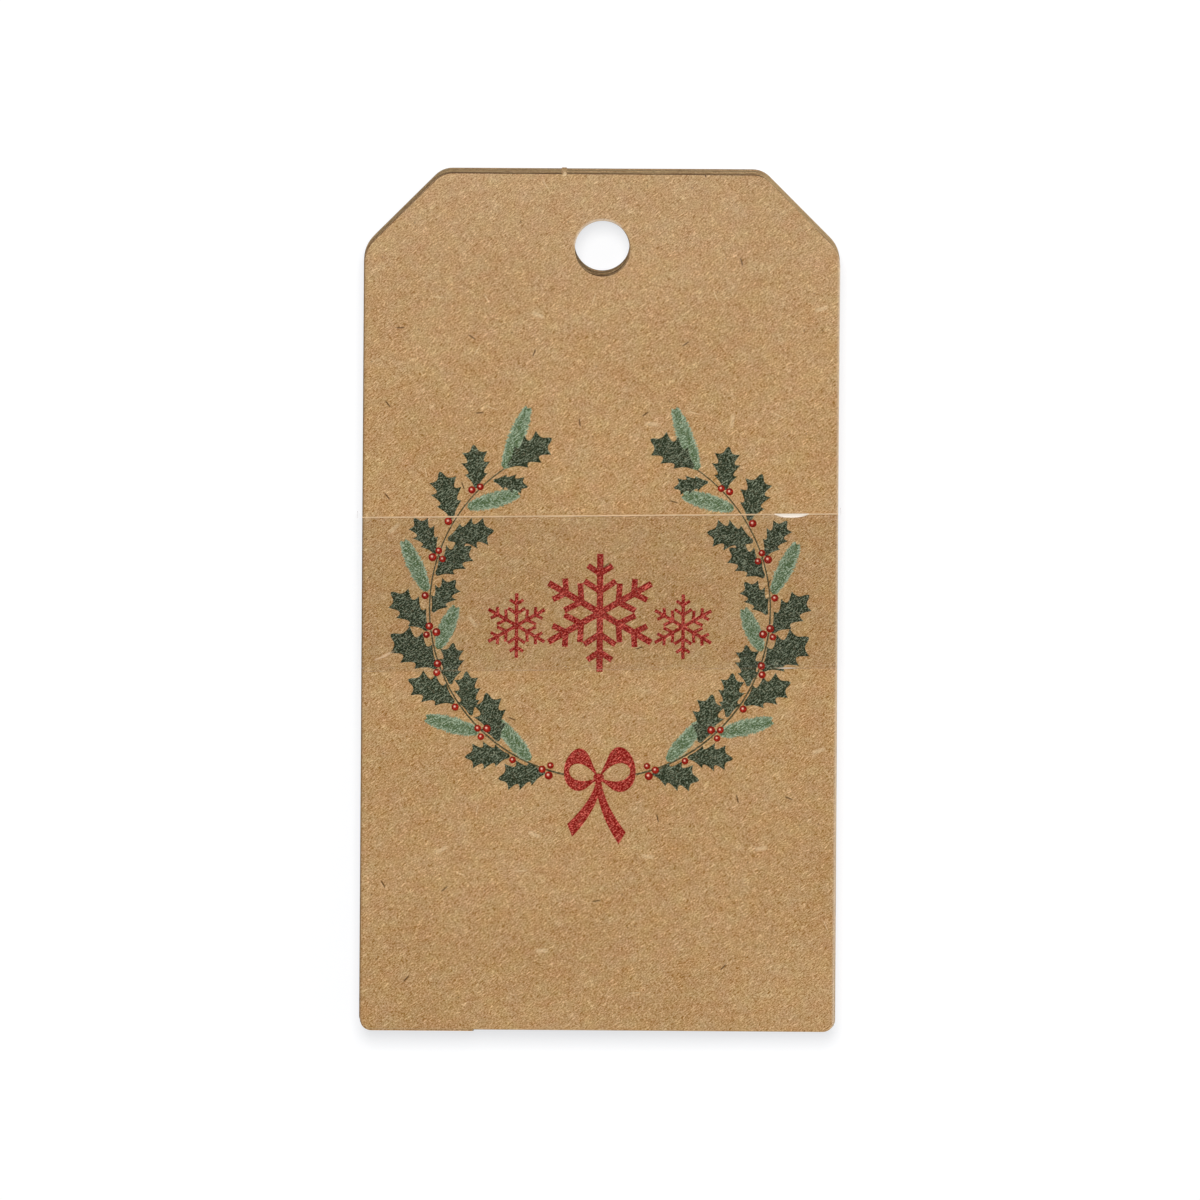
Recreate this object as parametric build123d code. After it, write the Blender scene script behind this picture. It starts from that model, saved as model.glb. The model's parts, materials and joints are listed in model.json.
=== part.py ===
from build123d import *

import math
import os

# A pack of die-cut kraft gift tags, lying on its back and held by a clear film band.
# Millimetres. +Z is up and out of the printed faces, +Y points to the punched head of
# the tags, and the origin is under the middle of the pack, on the surface it lies on.

# One tag, cut from kraft board
TAG_WIDTH = 49.6
TAG_LENGTH = 90.0
BOARD_THICKNESS = 0.42
HEAD_CUT = 8.1  # leg of each 45 degree cut corner at the head
CROWN_RADIUS = 2.5  # where a cut corner runs into the head edge
SHOULDER_RADIUS = 3.4  # where a cut corner runs into a side
FOOT_RADIUS = 1.2  # the two square corners at the foot
HOLE_DIAMETER = 5.8
HOLE_INSET = 7.8  # head edge to the hole's centre
CRUSH_RADIUS = 0.08  # the cutting rule rounds the printed side's edges over

# What the cutting die leaves on the outline: at the head, the stub of a tie that held the tag
# in its sheet, and at the foot, a lip where one length of cutting rule stands further out
NICK_X = -4.0
NICK_WIDTH = 0.5
NICK_REACH = 0.1
LIP_START = 0.1  # in from the left side
LIP_LENGTH = 11.7
LIP_REACH = 0.16

# The stack, knocked up on a peg through the holes, so that the tags only turn about it a little
TAG_COUNT = 12
LAYER_GAP = 0.05  # air between two tags
HOLE_WANDER = 0.05  # how far a tag's hole lies off the peg's line
TURN = 0.12  # largest turn of a tag about its hole, its foot to the right, in degrees
GOLDEN_ANGLE = math.pi * (3 - math.sqrt(5))  # spreads the tags' places evenly round

# The clear film band, wrapped once round the stack and welded to itself at the back
FILM_THICKNESS = 0.08
BAND_WIDTH = 16.3
BAND_OFFSET = 1.1  # the band's middle above the middle of the tags
BAND_SKEW = 0.85  # the band sits a little askew, in degrees
BAND_CLEARANCE = 0.05  # air between the film and the stack
SEAM_OVERLAP = 12.0  # how far the film's outer end laps over its inner end

# Heights of the layers, from the surface up
band_back_bottom = FILM_THICKNESS  # the seam's outer layer is under the band's back
cavity_bottom = band_back_bottom + FILM_THICKNESS
stack_bottom = cavity_bottom + BAND_CLEARANCE
layer_pitch = BOARD_THICKNESS + LAYER_GAP
stack_height = TAG_COUNT * layer_pitch - LAYER_GAP
cavity_height = stack_height + 2 * BAND_CLEARANCE


def tag_blank():
    """One tag, its back face on Z 0 and the centre of its hole at the origin."""
    side = TAG_WIDTH / 2
    head = HOLE_INSET
    foot = HOLE_INSET - TAG_LENGTH
    corners = [
        (-side, foot, FOOT_RADIUS),
        (side, foot, FOOT_RADIUS),
        (side, head - HEAD_CUT, SHOULDER_RADIUS),
        (side - HEAD_CUT, head, CROWN_RADIUS),
        (HEAD_CUT - side, head, CROWN_RADIUS),
        (-side, head - HEAD_CUT, SHOULDER_RADIUS),
    ]
    outline = FilletPolyline(
        *[(x, y) for x, y, radius in corners],
        radius=[radius for x, y, radius in corners],
        close=True,
    )
    shape = make_face(outline)
    sheet = extrude(shape - Circle(HOLE_DIAMETER / 2), BOARD_THICKNESS)
    printed_face = sheet.faces().sort_by(Axis.Z)[-1]
    tag = fillet(printed_face.edges(), CRUSH_RADIUS)
    # Both stay below the crushed edge, and as far above the back face.
    mid = BOARD_THICKNESS / 2
    height = BOARD_THICKNESS - 2 * CRUSH_RADIUS
    tag += Pos(NICK_X, head, mid) * Box(NICK_WIDTH, 2 * NICK_REACH, height)
    # The lip is the outline's own foot, moved out over the length of that rule.
    lip_zone = Pos(LIP_START + LIP_LENGTH / 2 - side, foot) * Rectangle(LIP_LENGTH, 2 * FOOT_RADIUS)
    lip = extrude((Pos(0, -LIP_REACH) * shape) & lip_zone, height)
    tag += Pos(0, 0, CRUSH_RADIUS) * lip
    return tag.solid()


def place_in_stack(layer):
    """Where the tag on this layer lies, with layer 0 at the back of the pack."""
    angle = (TAG_COUNT - 1 - layer) * GOLDEN_ANGLE
    x = HOLE_WANDER * math.cos(angle)
    y = TAG_LENGTH / 2 - HOLE_INSET + HOLE_WANDER * math.sin(angle)
    z = stack_bottom + layer * layer_pitch
    return Pos(x, y, z) * Rot(0, 0, TURN * math.sin(angle) ** 2)


def tag_name(layer):
    ends = {0: "_back", TAG_COUNT - 1: "_front"}
    return f"tag_{layer + 1:02d}{ends.get(layer, '')}"


def film_band():
    """The band as one closed loop of film, with the second layer of its welded seam."""
    turn = math.radians(TURN)
    skew = math.radians(BAND_SKEW)
    # The loop is wide enough for the whole length of every tag to be drawn through it.
    swing = (TAG_LENGTH - HOLE_INSET) * math.sin(turn)
    tag_reach = TAG_WIDTH / 2 * math.cos(turn) + swing + HOLE_WANDER
    half = tag_reach / math.cos(skew) + BAND_WIDTH / 2 * math.tan(skew) + BAND_CLEARANCE
    fold_radius = 2 * BAND_CLEARANCE  # tight enough to stay off the tags' square edges
    middle = Plane.XZ * Pos(0, cavity_bottom + cavity_height / 2)
    inside = middle * RectangleRounded(2 * half, cavity_height, fold_radius)
    outside = middle * RectangleRounded(
        2 * (half + FILM_THICKNESS),
        cavity_height + 2 * FILM_THICKNESS,
        fold_radius + FILM_THICKNESS,
    )
    seam = Plane.XZ * Pos(0, band_back_bottom / 2) * Rectangle(SEAM_OVERLAP, FILM_THICKNESS)
    loop = extrude(outside - inside + seam, BAND_WIDTH / 2, both=True)
    return (Pos(0, BAND_OFFSET) * Rot(0, 0, BAND_SKEW) * loop).solid()


def write(name, solid):
    solid.label = name
    export_step(solid, f"parts/{name}.step")


os.makedirs("parts", exist_ok=True)
blank = tag_blank()
for layer in range(TAG_COUNT):
    write(tag_name(layer), place_in_stack(layer) * blank)
write("film_band", film_band())
print(f"stack {stack_height:.2f} mm high from Z {stack_bottom:.2f}")
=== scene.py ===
import json
import math
import random

import bmesh
import bpy
from mathutils import Matrix, Vector


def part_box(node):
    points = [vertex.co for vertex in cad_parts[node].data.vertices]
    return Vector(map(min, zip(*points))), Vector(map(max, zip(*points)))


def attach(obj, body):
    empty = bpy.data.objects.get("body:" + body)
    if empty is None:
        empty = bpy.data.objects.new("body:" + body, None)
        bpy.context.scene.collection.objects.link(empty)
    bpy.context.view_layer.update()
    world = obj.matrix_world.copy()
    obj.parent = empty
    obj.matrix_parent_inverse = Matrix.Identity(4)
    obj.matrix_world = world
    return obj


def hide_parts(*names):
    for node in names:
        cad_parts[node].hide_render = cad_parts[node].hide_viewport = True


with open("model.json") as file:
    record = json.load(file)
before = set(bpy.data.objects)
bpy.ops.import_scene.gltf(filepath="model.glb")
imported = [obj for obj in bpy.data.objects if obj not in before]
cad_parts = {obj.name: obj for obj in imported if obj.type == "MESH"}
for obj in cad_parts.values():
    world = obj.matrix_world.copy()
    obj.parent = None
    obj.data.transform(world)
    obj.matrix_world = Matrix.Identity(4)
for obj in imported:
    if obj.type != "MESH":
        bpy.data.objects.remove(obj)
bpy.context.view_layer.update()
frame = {"nodes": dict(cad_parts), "record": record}

# The tags: one outline die-cut from unbleached kraft board and punched at the head, lying face up
# in a stack. The board is uncoated, so its fibres show all over, and its cut edges look darker
# than its faces. The solids have the right shape, so they stay and only get this finish.

MM = 0.001
body_of_node = {
    node: body
    for body, nodes in frame["record"]["behaviour"]["bodies"].items()
    for node in nodes
}
tag_nodes = sorted(node for node in body_of_node if node.startswith("tag_"))
back_low, back_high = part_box(tag_nodes[0])
front_low, front_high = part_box(tag_nodes[-1])
layer_pitch = (front_low.z - back_low.z) / (len(tag_nodes) - 1)


def paint(red, green, blue):
    """A colour as a picture editor gives it, 0 to 255, as the linear colour that shaders take."""
    def linear(value):
        value /= 255
        return value / 12.92 if value <= 0.04045 else ((value + 0.055) / 1.055) ** 2.4
    return (linear(red), linear(green), linear(blue), 1.0)


class Wire:
    """A socket among a material's nodes. Sums on it add Math nodes, and node() adds any other."""

    def __init__(self, tree, socket=None):
        self.tree = tree
        self.socket = socket

    def node(self, kind, settings, inputs, output=0):
        made = self.tree.nodes.new("ShaderNode" + kind)
        for name, value in settings.items():
            setattr(made, name, value)
        for name, value in inputs.items():
            if isinstance(value, Wire):
                self.tree.links.new(value.socket, made.inputs[name])
            else:
                made.inputs[name].default_value = value
        return Wire(self.tree, made.outputs[output])

    def sum(self, operation, *values):
        return self.node("Math", {"operation": operation}, dict(enumerate(values)))

    def __add__(self, other):
        return self.sum("ADD", self, other)

    def __sub__(self, other):
        return self.sum("SUBTRACT", self, other)

    def __rsub__(self, other):
        return self.sum("SUBTRACT", other, self)

    def __mul__(self, other):
        return self.sum("MULTIPLY", self, other)

    def __truediv__(self, other):
        return self.sum("DIVIDE", self, other)

    def __lt__(self, other):
        return self.sum("LESS_THAN", self, other)

    def __gt__(self, other):
        return self.sum("GREATER_THAN", self, other)

    def __abs__(self):
        return self.sum("ABSOLUTE", self)

    __radd__ = __add__
    __rmul__ = __mul__

    def part(self, axis):
        """One coordinate of a place."""
        return self.node("SeparateXYZ", {}, {"Vector": self}, axis)

    def between(self, first, second):
        """The colour that lies this share of the way from the first to the second."""
        return self.node("Mix", {"data_type": "RGBA"}, {0: self, 6: first, 7: second}, 2)

    def ramp(self, low, high):
        """0 up to low, 1 from high on, and a smooth rise between them."""
        span = {"From Min": low, "From Max": high}
        return self.node("MapRange", {"interpolation_type": "SMOOTHSTEP"}, {"Value": self, **span})


def start_finish(name):
    """A new material: its first wire, its surface shader and itself."""
    finish = bpy.data.materials.new(name)
    finish.use_nodes = True
    return Wire(finish.node_tree), finish.node_tree.nodes["Principled BSDF"], finish


def feed(shader, name, wire):
    """Links a wire to an input of a shader."""
    wire.tree.links.new(wire.socket, shader.inputs[name])


def place_in_mm(wires):
    """Where a point lies in the frame, in millimetres."""
    place = wires.node("TexCoord", {}, {}, "Object")
    return wires.node("VectorMath", {"operation": "SCALE"}, {"Vector": place, "Scale": 1 / MM})


SHEET_SHIFT = (37.0, 61.0)  # moves the pattern on from tag to tag, in millimetres
LAYER_MARGIN = 0.005  # how far under a tag its layer starts, in millimetres


def place_on_board(place):
    """The same on another stretch of board for each tag, and the tag's number in the stack."""
    above = place.part("Z") - (back_low.z / MM - LAYER_MARGIN)
    layer = place.sum("FLOOR", above / (layer_pitch / MM))
    shift = {axis: layer * step for axis, step in zip("XY", SHEET_SHIFT)}
    shift = place.node("CombineXYZ", {}, shift)
    return place.node("VectorMath", {"operation": "ADD"}, {0: place, 1: shift}), layer


def fibre_noise(place, along, across, slant, detail):
    """Cloudy noise drawn out along the way the fibres lie, with 0 as its middle."""
    turn = (0, 0, math.radians(slant))
    turned = {"Vector": place, "Rotation": turn, "Scale": (along, across, 1)}
    turned = place.node("Mapping", {"vector_type": "TEXTURE"}, turned)
    settings = {"noise_dimensions": "2D"}
    inputs = {"Vector": turned, "Scale": 1.0, "Detail": detail, "Roughness": 0.6}
    return place.node("TexNoise", settings, inputs) - 0.5


def stray_fibres(place, cell, length, width, chance):
    """Short bent fibres, at most one to a cell, each at its own slant: 1 on a fibre, else 0."""
    scaled = place.node("VectorMath", {"operation": "SCALE"}, {"Vector": place, "Scale": 1 / cell})
    cells = {"voronoi_dimensions": "2D"}
    inputs = {"Vector": scaled, "Scale": 1.0}
    middle = place.node("TexVoronoi", cells, inputs, "Position")
    draw = place.node("TexVoronoi", cells, inputs, "Color")
    slant, luck, bend = (place.node("SeparateColor", {}, {"Color": draw}, i) for i in range(3))
    off = place.node("VectorMath", {"operation": "SUBTRACT"}, {0: scaled, 1: middle})
    across, up = off.part("X"), off.part("Y")
    angle = slant * math.tau
    cosine, sine = place.sum("COSINE", angle), place.sum("SINE", angle)
    run = across * cosine + up * sine
    stray = up * cosine - across * sine + (bend - 0.5) * run * run * 2.0
    on_line = 1 - abs(stray).ramp(width / cell / 4, width / cell)
    return on_line * (1 - abs(run).ramp(length / cell / 5, length / cell / 2)) * (luck < chance)


KRAFT_DEEP = paint(138, 95, 36)
KRAFT_PALE = paint(235, 199, 152)
KRAFT_TONE = 0.33  # the board's middle tone, as a share of the way from deep to pale
RED_TINT, GREEN_TINT = (1.043, 0.971, 0.97, 1), (0.957, 1.029, 1.03, 1)
BLUE_TINT, YELLOW_TINT = (1, 1, 1.1, 1), (1, 1, 0.9, 1)
# Pale fibres, and also the colour of the painted highlight on the rims
PALE_FIBRE_AND_HIGHLIGHT = paint(240, 214, 174)
# Dark fibres, and also the colour of the painted shade on the cut edges
DARK_FIBRE_AND_SHADE = paint(72, 45, 20)
FIBRE_SLANT = 35  # degrees that most fibres rise to the right


def board_grain(place):
    """The board's fine grain: specks, and the pale and dark strokes of single fibres."""
    specks = fibre_noise(place, 0.2, 0.11, FIBRE_SLANT, 1.0)
    pale = fibre_noise(place, 1.1, 0.1, FIBRE_SLANT, 1.0).ramp(0.1, 0.3)
    steep = fibre_noise(place, 0.9, 0.12, FIBRE_SLANT * 1.7, 1.0).ramp(0.14, 0.32)
    crossing = fibre_noise(place, 0.9, 0.12, -FIBRE_SLANT / 3, 1.0).ramp(0.14, 0.32)
    dark = fibre_noise(place, 0.7, 0.12, FIBRE_SLANT * 1.2, 1.0).ramp(0.12, 0.32)
    return specks * 1.22 + pale * 0.52 + steep * 0.4 + crossing * 0.28 - dark * 0.78 - 0.01


def kraft_colour(place, layer):
    """The board's colour, and how far its fibres stand up, at a place on it."""
    grain = board_grain(place)
    mottle = fibre_noise(place, 1.9, 1.0, FIBRE_SLANT, 2.0)
    stain = fibre_noise(place, 3.0, 1.7, FIBRE_SLANT / 2, 3.0)
    bleach = fibre_noise(place, 1.9, 2.7, FIBRE_SLANT, 3.0)
    cloud = fibre_noise(place, 16.0, 11.0, FIBRE_SLANT, 1.0)
    sheet = {"W": layer + 0.5}
    batch = place.node("TexWhiteNoise", {"noise_dimensions": "1D"}, sheet, "Value") - 0.5
    tone = KRAFT_TONE + grain + mottle * 0.14 - stain * 0.16 + cloud * 0.12 + batch * 0.06
    colour = tone.between(KRAFT_DEEP, KRAFT_PALE)
    for hue, low, high in ((stain, GREEN_TINT, RED_TINT), (bleach, YELLOW_TINT, BLUE_TINT)):
        tint = {0: colour, 1: (0.5 + 1.6 * hue).between(low, high)}
        colour = place.node("VectorMath", {"operation": "MULTIPLY"}, tint)
    hairs = stray_fibres(place, cell=6.0, length=1.5, width=0.08, chance=0.25)
    flecks = stray_fibres(place, cell=11.3, length=1.8, width=0.3, chance=0.25)
    dark = stray_fibres(place, cell=8.3, length=1.1, width=0.1, chance=0.4)
    crumbs = stray_fibres(place, cell=3.7, length=0.3, width=0.11, chance=0.2)
    colour = (hairs * 0.45 + flecks * 0.35).between(colour, PALE_FIBRE_AND_HIGHLIGHT)
    colour = (dark * 0.9 + crumbs * 0.5).between(colour, DARK_FIBRE_AND_SHADE)
    return colour, grain


EDGE_OLIVE = paint(164, 139, 98)
EDGE_BROWN = paint(94, 65, 30)
# A whitish colour for fuzz, and for painted light on the faces
FUZZ_AND_SHEEN = paint(226, 214, 198)
HEAD_SHADE_DEPTH = 0.9  # how far down from the top the head edges get painted shade, in millimetres
CRUSH_AND_SHADE_DEPTH = 0.1  # how far from a face the cut edges are darkened, for crushed fibres and painted gap shade, in millimetres
SIDE_BAND_WIDTH = 0.35  # how far in from its long sides a face gets painted shade or light, in millimetres
LEFT_SIDE_SHADE, RIGHT_SIDE_LIGHT = 0.27, 0.38  # how much painted shade darkens the left side, and painted light lightens the right side
PALING_SPAN = (10, 60)  # from where to where, towards the head, the tags turn paler
PALING = 0.085  # and how much
HOLE_RADIUS = 2.9
HOLE_INSET = 7.8
NICK_X = -4.0  # where the tie nick was torn from the head edge, in millimetres
NICK_HALF = 0.2
NICK_DEPTH = 0.3


def edge_noise(spot, along, up, detail):
    """Cloudy noise drawn out along the cut edges, with 0 as its middle."""
    drawn = {"Vector": spot, "Scale": (along, along, up)}
    drawn = spot.node("Mapping", {"vector_type": "TEXTURE"}, drawn)
    return spot.node("TexNoise", {}, {"Vector": drawn, "Scale": 1.0, "Detail": detail}) - 0.5


wires, shader, kraft_board = start_finish("kraft_board")
spot = place_in_mm(wires)
x, y, z = spot.part("X"), spot.part("Y"), spot.part("Z")
place, layer = place_on_board(spot)
colour, relief = kraft_colour(place, layer)

# Which way a face looks: cut is 1 on the cut edges; where they round into the front face they get
# a pale rim, raised fibres with a painted highlight, except at the head and on the left
facing = wires.node("TexCoord", {}, {}, "Normal")
upright, headward = abs(facing.part("Z")), facing.part("Y").ramp(0, 0.4)
# Painted light: cut edges that face right are drawn paler, and get less of the head shade
leftward, right_facing_light = facing.part("X") < -0.3, facing.part("X").ramp(0.2, 0.8)
cut = 1 - (upright - headward * 0.25).ramp(0.35, 0.75)
rim_fibres_and_highlight = upright.ramp(0.4, 0.7) * (1 - upright.ramp(0.97, 0.999)) * (1 - headward) * (1 - leftward)

# The cut edges: mixed plies, browner in the hole, paler with painted light where they face right,
# with dark lines near each face, partly crushed fibres and partly painted shade of the gap to the
# next tag, and painted shade on the head edges of the top tags, as the front tag would cast it
across, up = x - (front_low.x + front_high.x) / 2 / MM, y - (front_high.y / MM - HOLE_INSET)
from_hole = wires.sum("SQRT", across * across + up * up) - HOLE_RADIUS
punched = 1 - from_hole.ramp(0.06, 0.22)
plies = edge_noise(spot, 0.6, 0.3, 3.0)
streaks = edge_noise(spot, 3.5, 0.4, 2.0)
mixed = plies * 2.0 + streaks * 1.5
# Browner in the hole, paler with painted light where the edges face right
edge_tone = 0.36 + punched * 0.25 - right_facing_light * 0.3 + mixed * (0.4 + headward * 0.6)
edge_colour = edge_tone.between(EDGE_OLIVE, EDGE_BROWN)
board_half = (front_high.z - front_low.z) / 2 / MM
height = z - back_low.z / MM - layer * (layer_pitch / MM)
# Darker near each face of a tag: partly crushed fibres, partly painted shade of the gap to the next
# tag
crush_and_gap_shade = abs(height - board_half).ramp(board_half - CRUSH_AND_SHADE_DEPTH, board_half)
edge_colour = (crush_and_gap_shade * (1 - headward) * 0.6).between(edge_colour, DARK_FIBRE_AND_SHADE)
depth = front_high.z / MM - z
# Painted shade: the head edges of the top tags are darkened, as the front tag's shadow on them
head_edge_shade = 1 - (depth + plies).ramp(HEAD_SHADE_DEPTH * 0.6, HEAD_SHADE_DEPTH)
head_edge_shade = head_edge_shade * headward * (0.9 - right_facing_light * 0.5 + streaks * 1.6)
edge_colour = head_edge_shade.between(edge_colour, DARK_FIBRE_AND_SHADE)

# The faces: a little paler towards the head, with painted shade along the left side and painted
# light along the right, fuzzy above the hole
colour = (y.ramp(*PALING_SPAN) * PALING).between(colour, FUZZ_AND_SHEEN)
# A pale rim: raised fibres and a painted highlight
colour = (rim_fibres_and_highlight * 0.3).between(colour, PALE_FIBRE_AND_HIGHLIGHT)
inward = (front_high.x - front_low.x) / 2 / MM - abs(across)
side_band = (1 - inward.ramp(0, SIDE_BAND_WIDTH)) * (1 - cut)
# Painted shade along the left side, painted light along the right
colour = (side_band * (across < 0) * LEFT_SIDE_SHADE).between(colour, EDGE_BROWN)
colour = (side_band * (across > 0) * RIGHT_SIDE_LIGHT).between(colour, FUZZ_AND_SHEEN)
fuzz = punched * (up + across * -0.4 + plies * 4).ramp(0.5, 2.2) * (1 - cut)
colour = (fuzz * 0.4).between(colour, FUZZ_AND_SHEEN)
colour = cut.between(colour, edge_colour)

# The tie nick: torn, pale fibres on the head edge, most on the upper tags
ragged = abs(x - NICK_X + plies * 0.7)
torn = (1 - ragged.ramp(NICK_HALF * 0.6, NICK_HALF)) * (y > front_high.y / MM - NICK_DEPTH)
torn = torn * (1 - (depth + plies * 4).ramp(0.4, 2.0))
feed(shader, "Base Color", (torn * 0.5).between(colour, PALE_FIBRE_AND_HIGHLIGHT))
feed(shader, "Roughness", 0.88 + relief * 0.1)
bump = {"Height": relief, "Strength": 0.15, "Distance": 0.05 * MM}
feed(shader, "Normal", wires.node("Bump", {}, bump))
shader.inputs["Specular IOR Level"].default_value = 0.2

for node in tag_nodes:
    tag = frame["nodes"][node]
    tag.data.materials.clear()
    tag.data.materials.append(kraft_board)

# The print on each tag's face: a wreath of holly, fir sprigs and berries tied with a ribbon bow,
# and snowflakes within it, all in flat inks that sink into the board and leave some bare fibres.
# Each shape is a film of ink, some hundredths of a millimetre thick. Sizes are in millimetres.

RING_RADIUS = 17.8
RING_MIDDLE = Vector((0, -0.6, 0))
INK_LEVELS = {"stem": 0.004, "sprig": 0.011, "bow": 0.018, "leaf": 0.025, "berry": 0.032}
INK_STEP = 0.001  # each shape lies this much above the last of its kind, so none share a plane
INK_TURNS = 7  # and the steps start again after so many
INK_SINK = 0.002  # how far the ink reaches into the board
INKS = ["leaf_green", "sprig_green", "ribbon_red", "berry_red", "stem_green"]
BRANCH_SEED = 7  # the same for both branches, so that they are drawn alike

print_mesh = bmesh.new()
tone_layer = print_mesh.verts.layers.float.new("tone")
needle_layer = print_mesh.verts.layers.float.new("needle")
aside_layer = print_mesh.verts.layers.float.new("aside")
chance = random.Random(BRANCH_SEED)
shapes_laid = dict.fromkeys(INK_LEVELS, 0)


def lay_ink(verts, level, ink, matrix=Matrix()):
    """Puts a shape where it is printed, in its ink, and gives it its thickness."""
    height = INK_LEVELS[level] + INK_STEP * (shapes_laid[level] % INK_TURNS)
    shapes_laid[level] += 1
    bmesh.ops.transform(print_mesh, matrix=Matrix.Translation((0, 0, height)) @ matrix, verts=verts)
    faces = list(dict.fromkeys(face for vert in verts for face in vert.link_faces))
    for face in faces:
        face.material_index = INKS.index(ink)
    bmesh.ops.solidify(print_mesh, geom=faces, thickness=height + INK_SINK)


def ink_grid(along, across):
    """A flat patch of ink, with each point's share of the way along it, and from side to side."""
    made = bmesh.ops.create_grid(print_mesh, x_segments=along, y_segments=across, size=0.5)
    return [(vert, vert.co.x + 0.5, 2 * vert.co.y) for vert in made["verts"]]


def ribbon(path, width, steps, level, ink, slant=0.0):
    """A flat band of ink along a path, both given by the share of the way along it."""
    points = ink_grid(steps, 2)
    for vert, share, side in points:
        ahead = (path(min(share + 0.01, 1)) - path(max(share - 0.01, 0))).normalized()
        out = Vector((-ahead.y, ahead.x, 0))
        vert.co = path(share) + out * side * width(share) / 2
        if share > 0.99:
            vert.co += ahead * slant * side
        vert[tone_layer] = 1 - abs(side)
    lay_ink([vert for vert, share, side in points], level, ink)


LEAF_STEPS = 24
SPINES = (0.12, 0.8, 1.0, 0.88, 0.03)  # shares of the width, at the foot, the spines and the tip
SCALLOP_DEPTH = 0.4
SPINE_HOOK = 0.45


def holly_leaf(base, heading, length, width, curl):
    """A spiny leaf: each side is scalloped between its spines, which point a little forwards."""
    points = ink_grid(LEAF_STEPS, 2)
    for vert, along, side in points:
        scallops = (len(SPINES) - 1) * min(max(along, 0), 1)
        last = min(int(scallops), len(SPINES) - 2)
        past = scallops - last
        reach = SPINES[last] + (SPINES[last + 1] - SPINES[last]) * past
        scallop = math.sin(math.pi * past)
        half = width / 2 * reach * (1 - SCALLOP_DEPTH * scallop)
        hook = SPINE_HOOK * (1 - scallop) * abs(side) * reach
        sway = curl * length * along * (1 - along)
        vert.co = Vector((length * along + hook, side * half + sway, 0))
        vert[tone_layer] = 1 - abs(side)
    turn = Matrix.Translation(base) @ Matrix.Rotation(heading, 4, "Z")
    lay_ink([vert for vert, along, side in points], "leaf", "leaf_green", turn)


SPRIG_TEETH = 24
SPRIG_NOTCH = 0.22  # how deep the notches between the teeth are, as a share of the half width
NEEDLE_SLANT = 1.5  # how far a needle runs along the sprig for each millimetre out from its middle


def fir_sprig(base, heading, length, width):
    """A soft brush of needles, which slant forwards and feather its sides."""
    points = ink_grid(2 * SPRIG_TEETH, 2)
    start = 50 * chance.random()
    for vert, along, side in points:
        half = width / 2 * math.sin(math.pi * (0.06 + 0.91 * along)) ** 0.45
        half *= 0.9 + 0.2 * chance.random() - SPRIG_NOTCH * (round(along * 2 * SPRIG_TEETH) % 2)
        vert.co = Vector((length * along + 0.25 * abs(side), side * half, 0))
        vert[tone_layer] = abs(side)
        vert[needle_layer] = start + vert.co.x - NEEDLE_SLANT * abs(vert.co.y)
        vert[aside_layer] = vert.co.y
    turn = Matrix.Translation(base) @ Matrix.Rotation(heading, 4, "Z")
    lay_ink([vert for vert, along, side in points], "sprig", "sprig_green", turn)


def berry(middle, radius):
    """A round berry, lightest at the glint up on its left."""
    made = bmesh.ops.create_circle(
        print_mesh, cap_ends=True, cap_tris=True, segments=14, radius=radius
    )
    for vert in made["verts"]:
        if vert.co.length < radius / 2:
            vert[tone_layer] = 1
            vert.co = Vector((-0.22, 0.25, 0)) * radius
    lay_ink(made["verts"], "berry", "berry_red", Matrix.Translation(middle))


STEM_START, STEM_END = 10, 147  # degrees round the ring from its foot
STEM_WIDTH, STEM_TAPER = 0.19, 0.06
STATIONS = 10
STATION_START, STATION_STEP = 20, 12.9
SWING = 0.25  # by chance, leaves and sprigs turn within so many radians
LEAF_LENGTH = 5.1
LEAF_OUTER = 0.35  # leaves are so much longer outside the ring, and shorter within it
LEAF_LOSS = 0.05  # they get so much shorter from station to station
LEAF_VARIETY = 1.5  # and by chance their lengths vary so much
LEAF_SPREAD, LEAF_SPREAD_STEP = 29, 2.8  # degrees off the branch, and more at each station
LEAF_WIDTH, LEAF_WIDTH_VARIETY = 0.56, 0.14  # shares of the length: the least, and what chance adds
LEAF_CURL = 0.1
SPRIG_SIDES = {0: -1, 2: 1, 4: -1, 6: 1, 8: -1}  # stations with a sprig, and its side of the branch
SPRIG_SPREAD = math.radians(31)
SPRIG_EXTRA = 0.8  # a sprig is so much longer than a leaf
SPRIG_WIDTH = 1.9
TIP_SPREAD = math.radians(36)  # of the sprig at the end of a branch
TIP_SPRIG_LENGTH = 6.8
TIP_LEAF_LENGTH, TIP_LEAF_WIDTH, TIP_LEAF_CURL = 5.4, 3.4, 0.08
BERRY_PLACES = [(-0.45, 0.5), (0.4, 0.1), (-0.3, -0.55)]  # along the branch, and outwards
BERRY_COUNTS = [3, 1, 3, 1, 2, 3, 1, 3, 1, 2]
BERRY_RADIUS, BERRY_VARIETY = 0.34, 0.1  # the least, and what chance adds


def on_ring(side, degrees):
    """A point on the ring, the way the branch grows there, and the way out of the ring."""
    turn = math.radians(degrees)
    out = Vector((side * math.sin(turn), -math.cos(turn), 0))
    growth = Vector((side * math.cos(turn), math.sin(turn), 0))
    return RING_MIDDLE + out * RING_RADIUS, growth, out


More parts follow.
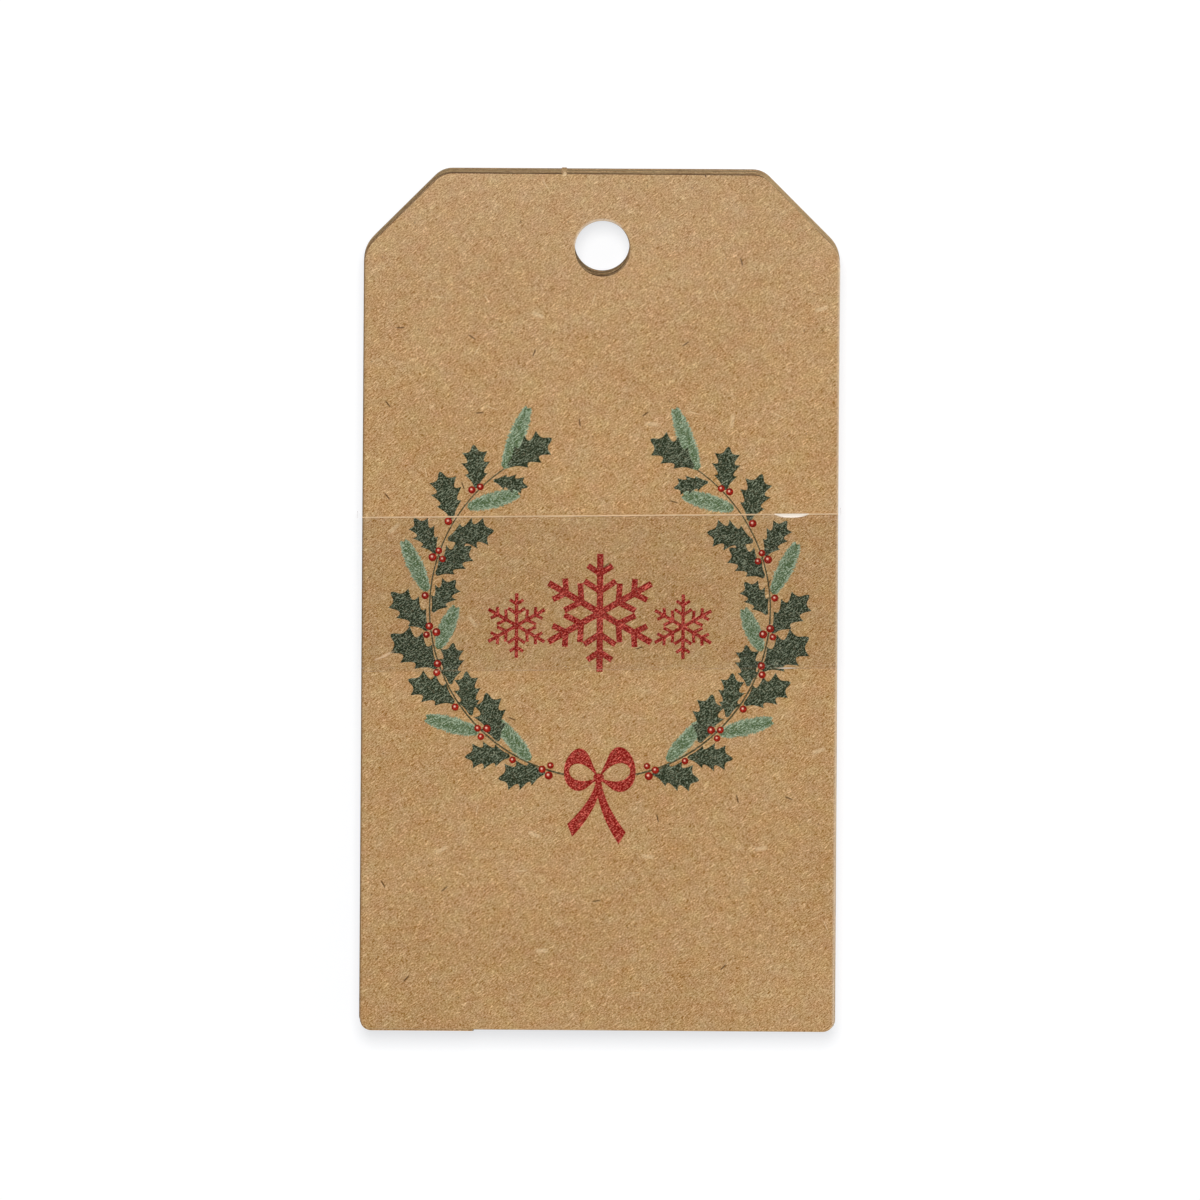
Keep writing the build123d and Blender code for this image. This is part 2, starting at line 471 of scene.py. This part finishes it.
for side in (-1, 1):
    chance.seed(BRANCH_SEED)

    def stem(share):
        return on_ring(side, STEM_START + (STEM_END - STEM_START) * share)[0]

    ribbon(stem, lambda share: STEM_WIDTH - STEM_TAPER * share, 40, "stem", "stem_green")
    for station in range(STATIONS):
        degrees = STATION_START + STATION_STEP * station
        for outward in (1, -1):
            point, growth, out = on_ring(side, degrees + 1 - 3 * outward)
            forwards = math.atan2(growth.y, growth.x)
            base = point + out * outward * 0.3
            swing = SWING * (chance.random() - 0.5)
            length = LEAF_LENGTH + LEAF_OUTER * outward - LEAF_LOSS * station
            length += LEAF_VARIETY * (chance.random() - 0.5)
            if SPRIG_SIDES.get(station) == outward:
                heading = forwards - side * outward * (SPRIG_SPREAD + swing)
                fir_sprig(base, heading, length + SPRIG_EXTRA, SPRIG_WIDTH)
            else:
                width = length * (LEAF_WIDTH + LEAF_WIDTH_VARIETY * chance.random())
                spread = math.radians(LEAF_SPREAD + LEAF_SPREAD_STEP * station)
                heading = forwards - side * outward * (spread + swing)
                holly_leaf(base, heading, length, width, side * outward * LEAF_CURL)
        point, growth, out = on_ring(side, degrees - 2)
        for along, outwards in BERRY_PLACES[:BERRY_COUNTS[station]]:
            radius = BERRY_RADIUS + BERRY_VARIETY * chance.random()
            berry(point + growth * along + out * outwards, radius)
    point, growth, out = on_ring(side, STEM_END)
    forwards = math.atan2(growth.y, growth.x)
    holly_leaf(point, forwards, TIP_LEAF_LENGTH, TIP_LEAF_WIDTH, -side * TIP_LEAF_CURL)
    heading = forwards - side * TIP_SPREAD
    fir_sprig(point - growth * 0.5, heading, TIP_SPRIG_LENGTH, SPRIG_WIDTH)

KNOT = RING_MIDDLE + Vector((0, -RING_RADIUS, 0))
KNOT_WIDTH, KNOT_HEIGHT, KNOT_BULGE = 1.1, 0.6, 0.4
NECK = 0.3  # how far from the middle of the knot the loops start
# A loop's outer edge and its opening: the span in degrees as seen from the knot, the reach, how
# much further the upper end reaches, and how blunt it is, where less is blunter
LOOP_EDGE = (-42, 69, 3.3, 0.7, 0.3)
OPENING = (-14, 48, 2.9, 0.0, 0.45)
LOOP_STEPS = 48
LOOP_SCALES = {-1: 1.0, 1: 1.06}
TAIL_WIDTH, TAIL_FLARE, TAIL_SLANT = 0.5, 0.85, 0.3
TAIL_REACHES = {-1: Vector((-3.0, -5.5, 0)), 1: Vector((2.5, -6.3, 0))}


def petal(share, low, high, reach, crown, bluntness):
    """A point on a loop's outer edge or opening, this share of the way round from the knot."""
    turn = math.radians(low + (high - low) * share)
    swell = max(math.sin(math.pi * share), 0) ** bluntness
    far = NECK + reach * (1 + crown * max(share, 0) ** 4) * swell
    return Vector((math.cos(turn), math.sin(turn), 0)) * far


def bow_loop(side):
    """One loop of the bow: the ribbon between its outer edge and its opening."""
    points = ink_grid(LOOP_STEPS, 2)
    for vert, share, across in points:
        inwards = (1 + side * across) / 2
        point = petal(share, *LOOP_EDGE).lerp(petal(share, *OPENING), inwards) * LOOP_SCALES[side]
        vert.co = KNOT + Vector((side * point.x, point.y, 0))
        vert[tone_layer] = 1 - abs(across)
    lay_ink([vert for vert, share, across in points], "bow", "ribbon_red")


for side, reach in TAIL_REACHES.items():
    def tail(share):
        return KNOT + Vector((reach.x * share ** 1.8, reach.y * share, 0))

    bow_loop(side)
    ribbon(
        tail, lambda share: TAIL_WIDTH + TAIL_FLARE * share, 12, "bow", "ribbon_red",
        slant=-side * TAIL_SLANT,
    )
ribbon(
    lambda share: KNOT + Vector((KNOT_WIDTH * (share - 0.5), 0.02, 0)),
    lambda share: KNOT_HEIGHT + KNOT_BULGE * math.sin(math.pi * share),
    6, "berry", "ribbon_red",
)

SNOWFLAKES = [((0, -1.0, 0), 6.2), ((-8.7, -2.4, 0), 3.4), ((8.7, -2.4, 0), 3.4)]
ARM_WIDTH, TWIG_WIDTH = 0.11, 0.10  # as shares of a snowflake's radius
TWIGS = [(0.36, 0.32), (0.66, 0.25)]  # how far out a pair of twigs starts, and its length
TWIG_LEAN = math.radians(56)
for middle, radius in SNOWFLAKES:
    for arm in range(6):
        turn = Matrix.Rotation(math.radians(30 + 60 * arm), 3, "Z")

        def arm_path(share):
            return Vector(middle) + turn @ Vector((radius * share, 0, 0))

        ribbon(arm_path, lambda share: radius * ARM_WIDTH, 2, "bow", "ribbon_red")
        for start, twig in TWIGS:
            for side in (-1, 1):
                lean = Matrix.Rotation(side * TWIG_LEAN, 3, "Z")

                def twig_path(share):
                    out = lean @ Vector((radius * twig * share, 0, 0))
                    return Vector(middle) + turn @ (Vector((radius * start, 0, 0)) + out)

                ribbon(twig_path, lambda share: radius * TWIG_WIDTH, 2, "bow", "ribbon_red")

bmesh.ops.scale(print_mesh, vec=(MM, MM, MM), verts=print_mesh.verts)
printed = bpy.data.meshes.new("wreath_print")
print_mesh.to_mesh(printed)
print_mesh.free()


SHADING, GRAINING, BLOTCHING = 0.1, 3.8, 0.6  # how far a shape's own tone and the board show in it
DEEPENING = 0.14  # how far the inks are moved towards their deep tones


def ink(name, deep, bright, bare, glint=None):
    """An ink, from its deep to its bright tone, with this share of the paler fibres left bare."""
    wires, shader, finish = start_finish(name)
    place, layer = place_on_board(place_in_mm(wires))
    tone = wires.node("Attribute", {"attribute_name": "tone"}, {}, "Fac")
    grain = board_grain(place)
    blotch = fibre_noise(place, 1.2, 0.7, FIBRE_SLANT, 2.0)
    brightness = tone * SHADING + grain * GRAINING + blotch * BLOTCHING - DEEPENING
    colour = brightness.between(deep, bright)
    if name == "sprig_green_ink":
        needle = {"X": wires.node("Attribute", {"attribute_name": "needle"}, {}, "Fac")}
        needle["Y"] = wires.node("Attribute", {"attribute_name": "aside"}, {}, "Fac")
        needles = fibre_noise(wires.node("CombineXYZ", {}, needle), 0.22, 0.55, 0, 1.0)
        lit = needles.ramp(0.02, 0.2) * 0.35 + tone.ramp(0.5, 1.0) * 0.45
        shaded = (0 - needles).ramp(0.02, 0.2) * 0.55
        colour = shaded.between(lit.between(colour, bright), deep)
    if glint:
        colour = (1 - tone.ramp(0.05, 0.3)).between(colour, deep)
        colour = tone.ramp(0.55, 0.95).between(colour, glint)
    bared = fibre_noise(place, 0.6, 0.11, -FIBRE_SLANT, 1.0).ramp(0.12, 0.28)
    bared = bared + fibre_noise(place, 0.6, 0.11, FIBRE_SLANT, 1.0).ramp(0.14, 0.3)
    feed(shader, "Base Color", (bared * bare).between(colour, PALE_FIBRE_AND_HIGHLIGHT))
    feed(shader, "Roughness", 0.75 + grain * 0.15)
    bump = {"Height": grain, "Strength": 0.15, "Distance": 0.05 * MM}
    feed(shader, "Normal", wires.node("Bump", {}, bump))
    shader.inputs["Specular IOR Level"].default_value = 0.05
    return finish


ink_finishes = {
    "leaf_green": ink("leaf_green_ink", paint(33, 41, 24), paint(131, 139, 117), 0.1),
    "sprig_green": ink("sprig_green_ink", paint(74, 94, 60), paint(172, 188, 162), 0.1),
    "ribbon_red": ink("ribbon_red_ink", paint(122, 14, 9), paint(222, 105, 91), 0.1),
    "berry_red": ink(
        "berry_red_ink", paint(122, 24, 16), paint(206, 56, 38), 0.0, glint=paint(244, 196, 172)
    ),
    "stem_green": ink("stem_green_ink", paint(62, 58, 38), paint(112, 104, 76), 0.2),
}
for name in INKS:
    printed.materials.append(ink_finishes[name])

for node in tag_nodes:
    low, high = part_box(node)
    mesh = printed.copy()
    mesh.transform(Matrix.Translation(((low.x + high.x) / 2, (low.y + high.y) / 2, high.z)))
    wreath = bpy.data.objects.new(node.replace("tag", "print"), mesh)
    bpy.context.scene.collection.objects.link(wreath)
    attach(wreath, body_of_node[node])

# The film band: a strip of clear film drawn round the stack, its ends lapped at the back and
# welded there by a ribbed bar. It all but vanishes on the board, and shows by painted light: pale
# lines along its two cut edges and its folds, a pale crease, and painted glints where a lifted edge
# stands off the board.

BAND_WIDTH = 16.3
BAND_MIDDLE = Vector((0, 1.1, 0))
BAND_SKEW = math.radians(0.85)
FILM_THICKNESS = 0.05
FILM_ROOM = 0.08  # the height of one layer of film in the frame's band
LAP = 12.0
LAP_RUN = 1.5  # length over which the film's outer end drops below its inner end
FOLD_RADIUS = 0.14
SLACK = 0.035  # how far the film's front can stand up without leaving its room
band_low, band_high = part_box("film_band")
half_width = (band_high.x / MM - BAND_WIDTH / 2 * math.sin(BAND_SKEW)) / math.cos(BAND_SKEW)
front = band_high.z / MM - SLACK
outer_end = band_low.z / MM + (FILM_ROOM - FILM_THICKNESS) / 2
back = outer_end + FILM_ROOM

film_mesh = bmesh.new()
across_layer = film_mesh.verts.layers.float.new("across")
route = [
    (LAP / 2, back),
    (-half_width, back),
    (-half_width, front),
    (half_width, front),
    (half_width, back),
    (LAP / 2 + LAP_RUN, back),
    (LAP / 2, outer_end),
    (-LAP / 2, outer_end),
]
corners = [film_mesh.verts.new((x, -BAND_WIDTH / 2, z)) for x, z in route]
rail = [film_mesh.edges.new(pair) for pair in zip(corners, corners[1:])]
swept = bmesh.ops.extrude_edge_only(film_mesh, edges=rail)
far_verts = [item for item in swept["geom"] if isinstance(item, bmesh.types.BMVert)]
bmesh.ops.translate(film_mesh, vec=(0, BAND_WIDTH, 0), verts=far_verts)


def runs_across(edge):
    """Whether an edge runs from one cut edge of the film towards the other."""
    return abs(edge.verts[0].co.y - edge.verts[1].co.y) > BAND_WIDTH / 100


folds = [
    edge for edge in film_mesh.edges
    if runs_across(edge) and abs(edge.verts[0].co.x) > half_width - 1
]
bmesh.ops.bevel(
    film_mesh, geom=folds, offset=FOLD_RADIUS, offset_type="OFFSET", affect="EDGES", segments=4,
    profile=0.5, material=-1,
)
cross_edges = [edge for edge in film_mesh.edges if runs_across(edge)]
bmesh.ops.subdivide_edges(film_mesh, edges=cross_edges, cuts=31, use_grid_fill=True)
front_edges = [
    edge for edge in film_mesh.edges
    if not runs_across(edge) and edge.calc_length() > half_width
]
bmesh.ops.subdivide_edges(film_mesh, edges=front_edges, cuts=99, use_grid_fill=True)

LIFTS = [  # where a cut edge stands off the board: middle and half length along X, and which edge
    (20.3, 2.6, 1),
    (19.8, 1.6, -1),
    (-9.0, 9.0, 1),
]
CREASE_FROM, CREASE_TO = Vector((-23.7, -7.0)), Vector((-21.2, -5.9))


def bell(offset):
    return math.exp(-offset * offset)


for vert in film_mesh.verts:
    vert[across_layer] = vert.co.y
    if vert.co.z > front - FOLD_RADIUS / 4:
        x, y = vert.co.x, vert.co.y
        # Low waves all over, in shares of the slack, and the lifted edges on top
        rise = 0.2 + 0.2 * math.sin(0.55 * x + 0.3 * y) * math.sin(0.23 * x - 0.5 * y + 1)
        for middle, half, edge in LIFTS:
            rise += 0.6 * bell((x - middle) / half) * bell((y - edge * BAND_WIDTH / 2) / 0.8)
        vert.co.z += SLACK * min(rise, 1) * (1 - bell((abs(x) - half_width) / 1.5))
bmesh.ops.recalc_face_normals(film_mesh, faces=film_mesh.faces)
if max(film_mesh.faces, key=lambda face: face.calc_center_median().z).normal.z < 0:
    bmesh.ops.reverse_faces(film_mesh, faces=film_mesh.faces)
bmesh.ops.solidify(film_mesh, geom=list(film_mesh.faces), thickness=FILM_THICKNESS)
for face in film_mesh.faces:
    face.smooth = True
place_band = Matrix.Scale(MM, 4) @ Matrix.Translation(BAND_MIDDLE)
place_band = place_band @ Matrix.Rotation(BAND_SKEW, 4, "Z")
bmesh.ops.transform(film_mesh, matrix=place_band, verts=film_mesh.verts)
film = bpy.data.objects.new("film", bpy.data.meshes.new("film"))
film_mesh.to_mesh(film.data)
film_mesh.free()
bpy.context.scene.collection.objects.link(film)

FILM_CLEAR = 0.03  # how much a face of the film hides, where it is clear
FILM_SHADE = paint(40, 38, 34)
# The pale colours of the painted light on the film, and of the weld
FILM_CREAM = paint(248, 214, 170)
FILM_WHITE = paint(240, 230, 216)
# Where the painted glints lie
UPPER_GLINT, LOWER_GLINT = (20.0, 1.8), (19.6, 1.3)  # middle and half length along X
WELD_RIBS = 1.25  # to a millimetre
wires, shader, clear_film = start_finish("clear_film")
spot = place_in_mm(wires)
across = wires.node("Attribute", {"attribute_name": "across"}, {}, "Fac")
x, z = spot.part("X"), spot.part("Z")
on_front = z > front - 1
upper = across > 0
streak = fibre_noise(spot, 5.0, 0.6, 0, 2.0)

# Painted light on the film: pale lines along the cut edges, strongest on the upper one, glints on
# them and a pale crease; and the ribs of the weld
inset = BAND_WIDTH / 2 - abs(across)
cut_edge_sheen = (1 - inset.ramp(0.07, 0.2)) * (0.08 + upper * 0.62 + streak * 0.6)
middle, half = UPPER_GLINT
swell = abs((x - middle) / half)
lens = 0.1 + 0.34 * (1 - swell * swell * swell)
glint = (1 - (inset - lens).ramp(-0.16, 0.06)) * (swell < 1) * upper * 0.95
middle, half = LOWER_GLINT
swell = abs((x - middle) / half)
glint = glint + (1 - inset.ramp(0.06, 0.2)) * (1 - swell.ramp(0.2, 1.0)) * (1 - upper) * 0.8
run = CREASE_TO - CREASE_FROM
along = ((x - CREASE_FROM.x) * run.x + (across - CREASE_FROM.y) * run.y) / run.length
aside = ((across - CREASE_FROM.y) * run.x - (x - CREASE_FROM.x) * run.y) / run.length
crease_sheen = 1 - abs(aside + streak * 0.3).ramp(0.02, 0.2)
crease_sheen = crease_sheen * along.ramp(0, 0.8) * (1 - along.ramp(run.length * 0.6, run.length)) * 0.46
ribs = abs(wires.sum("FRACT", x * WELD_RIBS) - 0.5).ramp(0.2, 0.35)
weld = (abs(x) < LAP / 2) * (z < back + FILM_ROOM / 2) * (0.06 + ribs * 0.1)

# Where it is clear, the film hides little, and past the tags' sides only at a graze
graze = wires.node("LayerWeight", {}, {"Blend": 0.2}, "Facing")
beyond = abs(x) > front_high.x / MM
sideways = abs(wires.node("TexCoord", {}, {}, "Normal").part("X")) > 0.7
cut_edge_sheen = cut_edge_sheen * (1 - beyond * (1 - sideways))
# One pale share: the painted light of the lines, crease and glints, and the weld
pale = wires.sum("MAXIMUM", cut_edge_sheen + (crease_sheen + glint) * on_front * (1 - beyond), weld)
clear = FILM_CLEAR * (1 - beyond) + graze * graze * graze * 0.15
alpha = wires.sum("MINIMUM", clear + pale, 1)
pale_colour = glint.between(FILM_CREAM, FILM_WHITE)
feed(shader, "Base Color", (pale / (alpha + 0.001)).between(FILM_SHADE, pale_colour))
feed(shader, "Alpha", alpha)
feed(shader, "Roughness", 0.08 + pale * 0.3)
film.data.materials.append(clear_film)
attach(film, "band")
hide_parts("film_band")

# The floor: plain white, lit as the pack is. Seen straight, it is brightened to white, and the
# pack's soft shadow stays on it.

FLOOR_SIZE = 8.0
OWN_LIGHT = (0.702, 0.709, 0.724, 1)
FLOOR_SEEN = 0.345  # how white the floor is to the camera, on top of its own light
FLOOR_TRUE = 0.80
floor_mesh = bmesh.new()
bmesh.ops.create_grid(floor_mesh, x_segments=1, y_segments=1, size=FLOOR_SIZE / 2)
floor = bpy.data.objects.new("floor", bpy.data.meshes.new("floor"))
floor_mesh.to_mesh(floor.data)
floor_mesh.free()
bpy.context.scene.collection.objects.link(floor)


def grey(value):
    return (value, value, value, 1)


def seen(wires):
    """1 for rays that show a surface to the camera, straight, in gloss or through glass."""
    rays = wires.node("LightPath", {}, {}, "Is Camera Ray")
    for kind in ("Is Glossy Ray", "Is Transmission Ray"):
        rays = wires.sum("MAXIMUM", rays, wires.node("LightPath", {}, {}, kind))
    return rays


wires, shader, floor_white = start_finish("floor_white")
shader.inputs["Roughness"].default_value = 0.9
shader.inputs["Specular IOR Level"].default_value = 0.0
feed(shader, "Base Color", seen(wires).between(grey(FLOOR_TRUE), grey(FLOOR_SEEN)))
feed(shader, "Emission Color", seen(wires).between(grey(0), OWN_LIGHT))
shader.inputs["Emission Strength"].default_value = 1.0
floor.data.materials.append(floor_white)

# The light: an even white room, one soft lamp high above the head of the tags, and a weak one low
# on the right, which lightens the cut edges on that side.

ROOM_LIGHT = 0.22
ROOM_COLOUR = (0.97, 0.985, 1.0, 1)
LAMP_COLOUR = (1.0, 0.99, 0.975)
LAMP_DISTANCE = 0.8
LAMP_SIZE = 0.26
LAMPS = {  # where each shines from, and how bright a white face turned to it looks by it alone
    "soft_lamp": (Vector((-0.02, 0.27, 0.96)), 0.75),
    "side_lamp": (Vector((0.98, 0.05, 0.16)), 0.5),
}
room = bpy.data.worlds.new("room")
bpy.context.scene.world = room
room.use_nodes = True
wires = Wire(room.node_tree)
background = room.node_tree.nodes["Background"]
feed(background, "Strength", seen(wires) * (1 - ROOM_LIGHT) + ROOM_LIGHT)
background.inputs["Color"].default_value = ROOM_COLOUR

for name, (source, level) in LAMPS.items():
    lamp = bpy.data.objects.new(name, bpy.data.lights.new(name, "AREA"))
    lamp.data.size = LAMP_SIZE
    lamp.data.energy = level * (math.pi * LAMP_DISTANCE) ** 2
    lamp.data.color = LAMP_COLOUR
    lamp.location = source.normalized() * LAMP_DISTANCE
    lamp.rotation_euler = (-source).to_track_quat("-Z", "Y").to_euler()
    bpy.context.scene.collection.objects.link(lamp)

# The camera: far off on a long lens, nearly square to the front tag, and a little towards the
# head, so that the edges behind it show above it.

PICTURE = 1200  # pixels each way
PIXELS_PER_MM = 9.575
CAMERA_TILT = math.radians(6.4)
CAMERA_ROLL = math.radians(0.42)
LENS, SENSOR = 900, 36  # millimetres
MIDDLE_DROP = 3.3  # pixels that the tag's middle lies below the picture's
camera = bpy.data.objects.new("camera", bpy.data.cameras.new("camera"))
camera.data.lens = LENS
camera.data.sensor_width = SENSOR
frame_width = PICTURE / PIXELS_PER_MM * MM
distance = LENS / SENSOR * frame_width
aim = (front_low + front_high) / 2
aim.z = front_high.z
aim.y += MIDDLE_DROP / PIXELS_PER_MM * MM
view = Vector((0, math.sin(CAMERA_TILT), math.cos(CAMERA_TILT)))
turn = Matrix.Rotation(-CAMERA_TILT, 4, "X") @ Matrix.Rotation(CAMERA_ROLL, 4, "Z")
camera.matrix_world = Matrix.Translation(aim + view * distance) @ turn
camera.data.clip_start, camera.data.clip_end = 0.01, 50
bpy.context.scene.collection.objects.link(camera)
bpy.context.scene.camera = camera
bpy.context.scene.view_settings.view_transform = "Standard"
